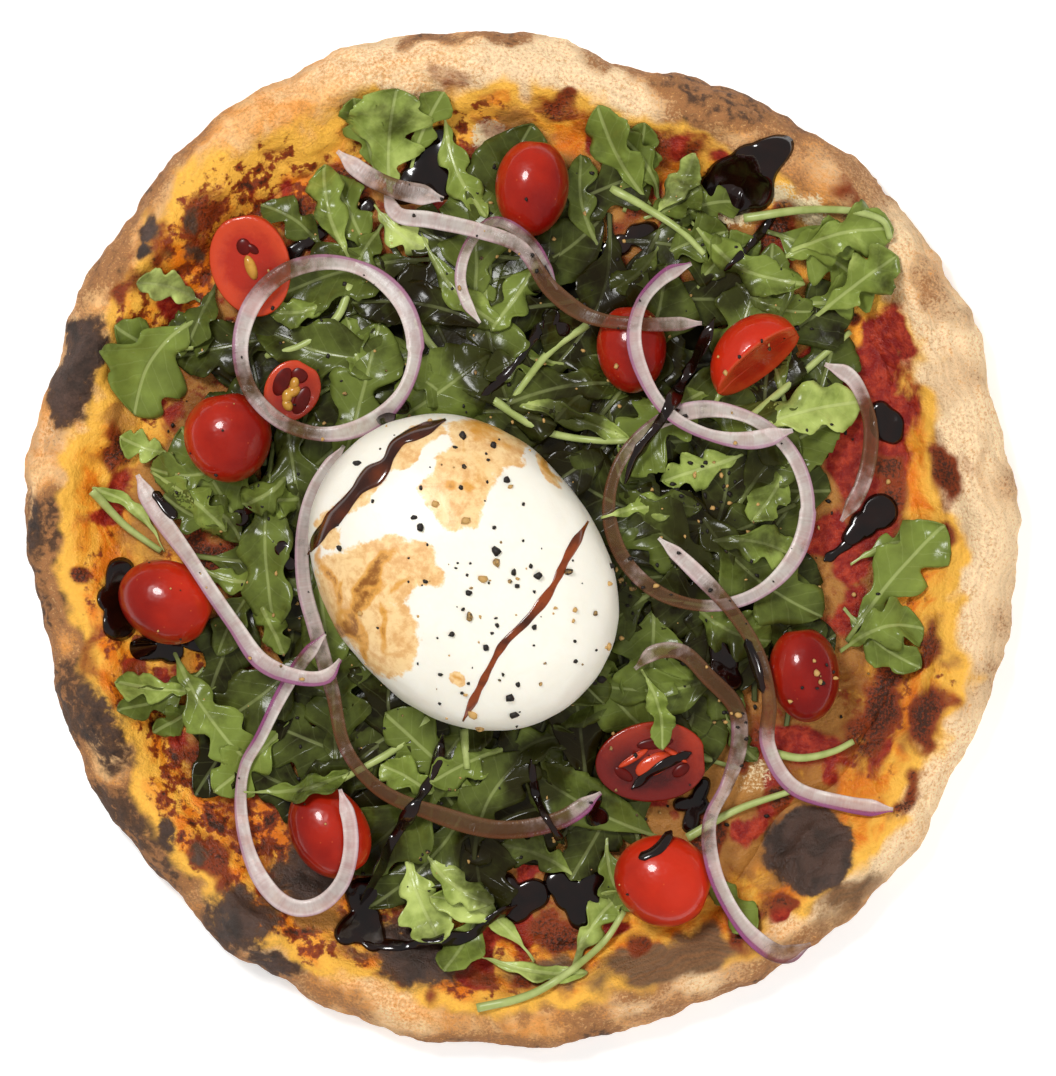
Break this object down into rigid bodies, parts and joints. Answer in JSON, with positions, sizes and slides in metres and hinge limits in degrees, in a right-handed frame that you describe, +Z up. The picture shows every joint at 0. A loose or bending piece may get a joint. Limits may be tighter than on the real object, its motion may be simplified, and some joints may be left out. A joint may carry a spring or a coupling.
{
  "type": "pizza with rocket, cherry tomatoes, red onion and a burrata",
  "caption": "Whole round pizza with a puffed rim, a tomato and cheese layer, a heap of rocket, cherry tomatoes, red onion strips and a ball of soft white cheese in the middle.",
  "frame": {"origin": "middle of the outline on the flat underside of the crust", "axes": "+Z up out of the toppings, +Y towards the top of the picture, +X to its right"},
  "size_m": [0.2987, 0.3037, 0.0559],
  "materials": {
    "baked_dough": "matte baked wheat dough, floury and charred in places",
    "sauce_and_cheese": "moist tomato sauce with browned cheese",
    "rocket": "soft leaf, satin",
    "fresh_cheese": "moist, softly glossy",
    "tomato_skin": "glossy skin",
    "red_onion": "moist, slightly see-through"
  },
  "bodies": {
    "root": {"crust": "baked_dough", "tomato_cheese_layer": "sauce_and_cheese", "rocket_heap": "rocket", "burrata": "fresh_cheese", "tomato_01": "tomato_skin", "tomato_02": "tomato_skin", "tomato_03": "tomato_skin", "tomato_04": "tomato_skin", "tomato_05": "tomato_skin", "tomato_06": "tomato_skin", "tomato_07": "tomato_skin", "tomato_08": "tomato_skin", "tomato_09": "tomato_skin", "tomato_10": "tomato_skin", "tomato_11": "tomato_skin", "onion_01": "red_onion", "onion_02": "red_onion", "onion_03": "red_onion", "onion_04": "red_onion", "onion_05": "red_onion", "onion_06": "red_onion", "onion_07": "red_onion", "onion_08": "red_onion", "onion_09": "red_onion", "onion_10": "red_onion", "onion_11": "red_onion", "onion_12": "red_onion"}
  },
  "joints": []
}
